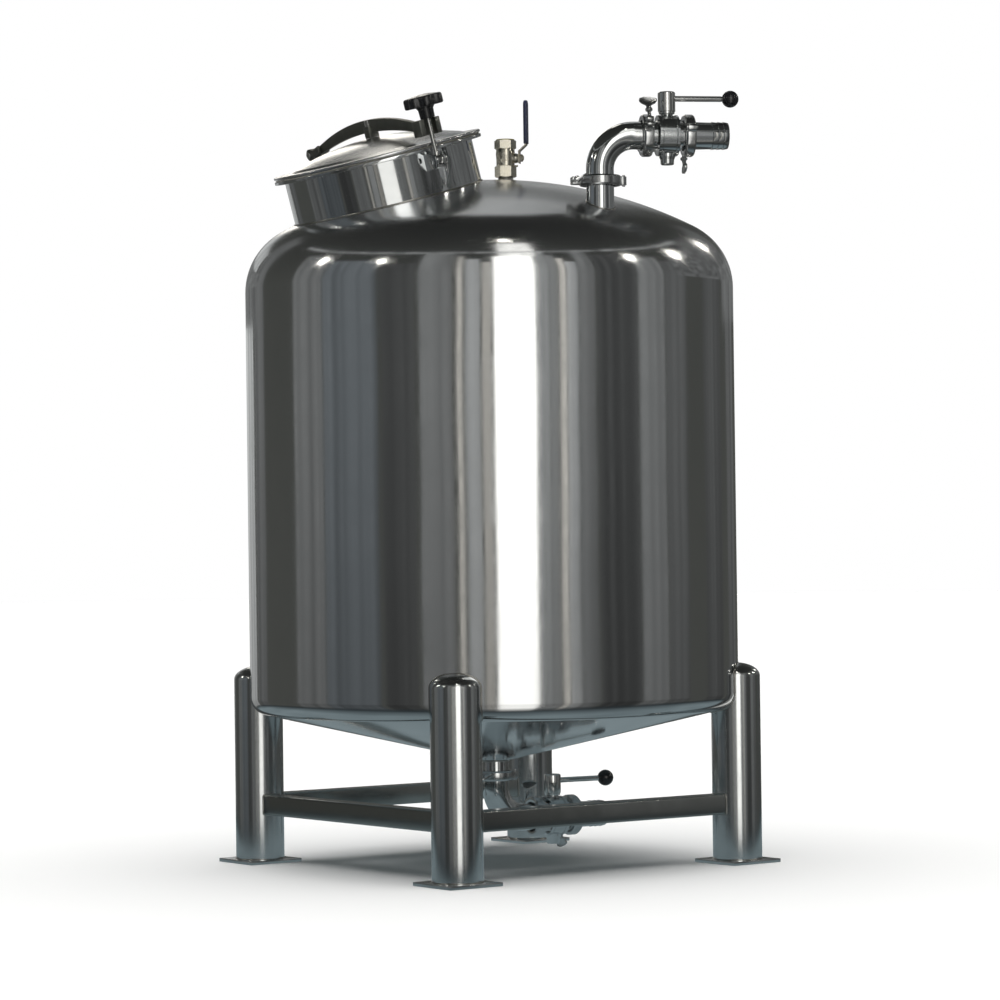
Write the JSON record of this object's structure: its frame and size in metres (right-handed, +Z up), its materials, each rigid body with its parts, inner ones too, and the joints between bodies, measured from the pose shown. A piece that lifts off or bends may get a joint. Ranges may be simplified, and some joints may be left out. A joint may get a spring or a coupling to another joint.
{
  "type": "storage tank",
  "caption": "Upright stainless process tank with a domed head, a hinged manway, a vent valve, pipe valves at top and bottom, and tube legs joined by low braces.",
  "frame": {"origin": "on the vessel's vertical axis at floor level; the pipe set at the inlet reaches past the shell, so the box's middle lies about 10 mm from it along -Y", "axes": "+Z up along the vessel; +X toward the side with no brace, where the outlet runs out; the manway is on -X and the inlet on -Y; the legs stand on the diagonals"},
  "size_m": [1.1, 1.1191, 1.7115],
  "materials": {
    "polished_stainless": "near-mirror polish with fine vertical grain",
    "satin_stainless": "satin polish",
    "matt_stainless": "matt, slightly dark",
    "bright_stainless": "turned and polished",
    "cast_stainless": "tumbled casting",
    "nickel_plate": "nickel plate, satin",
    "black_phenolic": "glossy moulded resin",
    "blue_vinyl": "dipped vinyl, satin",
    "white_rubber": "matt"
  },
  "bodies": {
    "tank": {"shell_wall_front": "polished_stainless", "shell_wall_right": "polished_stainless", "shell_wall_back": "polished_stainless", "shell_wall_left": "polished_stainless", "top_head": "polished_stainless", "bottom_cone": "polished_stainless", "leg_front_left": "satin_stainless", "leg_front_right": "satin_stainless", "leg_back_right": "satin_stainless", "leg_back_left": "satin_stainless", "foot_plate_front_left": "satin_stainless", "foot_plate_front_right": "satin_stainless", "foot_plate_back_right": "satin_stainless", "foot_plate_back_left": "satin_stainless", "brace_front": "satin_stainless", "brace_left": "satin_stainless", "brace_back": "satin_stainless", "manway_neck": "polished_stainless", "manway_gasket": "white_rubber", "manway_hinge_pin": "bright_stainless", "vent_nipple": "polished_stainless", "vent_valve_body": "nickel_plate", "inlet_nozzle": "polished_stainless", "inlet_nozzle_clamp": "cast_stainless", "inlet_elbow": "polished_stainless", "inlet_elbow_clamp": "cast_stainless", "inlet_valve_body": "polished_stainless", "inlet_hose_clamp": "cast_stainless", "inlet_hose_tail": "polished_stainless", "outlet_nozzle": "polished_stainless", "outlet_nozzle_clamp": "cast_stainless", "outlet_elbow": "polished_stainless", "outlet_elbow_clamp": "cast_stainless", "outlet_valve_body": "polished_stainless", "outlet_hose_clamp": "cast_stainless", "outlet_hose_tail": "polished_stainless"},
    "lid": {"manway_lid": "polished_stainless", "manway_arm": "matt_stainless", "manway_bolt": "bright_stainless"},
    "knob": {"manway_knob": "black_phenolic"},
    "vent_lever": {"vent_valve_lever": "nickel_plate", "vent_lever_sleeve": "blue_vinyl"},
    "inlet_handle": {"inlet_valve_handle": "bright_stainless", "inlet_handle_ball": "black_phenolic"},
    "outlet_handle": {"outlet_valve_handle": "bright_stainless", "outlet_handle_ball": "black_phenolic"}
  },
  "joints": [
    {"name": "manway_lid_hinge", "type": "hinge", "parent": "tank", "child": "lid", "pos_m": [-0.27864, 0.28513, 1.61167], "axis": [-0.9627, 0.0673, -0.2622], "range_deg": [0, 95]},
    {"name": "manway_knob_spin", "type": "hinge", "parent": "lid", "child": "knob", "pos_m": [-0.32555, -0.22033, 1.65413], "axis": [-0.2616, 0.0183, 0.965], "continuous": true},
    {"name": "vent_lever_turn", "type": "hinge", "parent": "tank", "child": "vent_lever", "pos_m": [0, -0.068, 1.582], "axis": [-0.6428, 0.766, 0], "range_deg": [0, 90]},
    {"name": "inlet_handle_turn", "type": "hinge", "parent": "tank", "child": "inlet_handle", "pos_m": [0.13134, -0.47983, 1.5985], "axis": [0, 0, -1], "range_deg": [0, 90]},
    {"name": "outlet_handle_turn", "type": "hinge", "parent": "tank", "child": "outlet_handle", "pos_m": [0.14764, -0.01813, 0.0965], "axis": [0, 0, -1], "range_deg": [0, 90]}
  ]
}
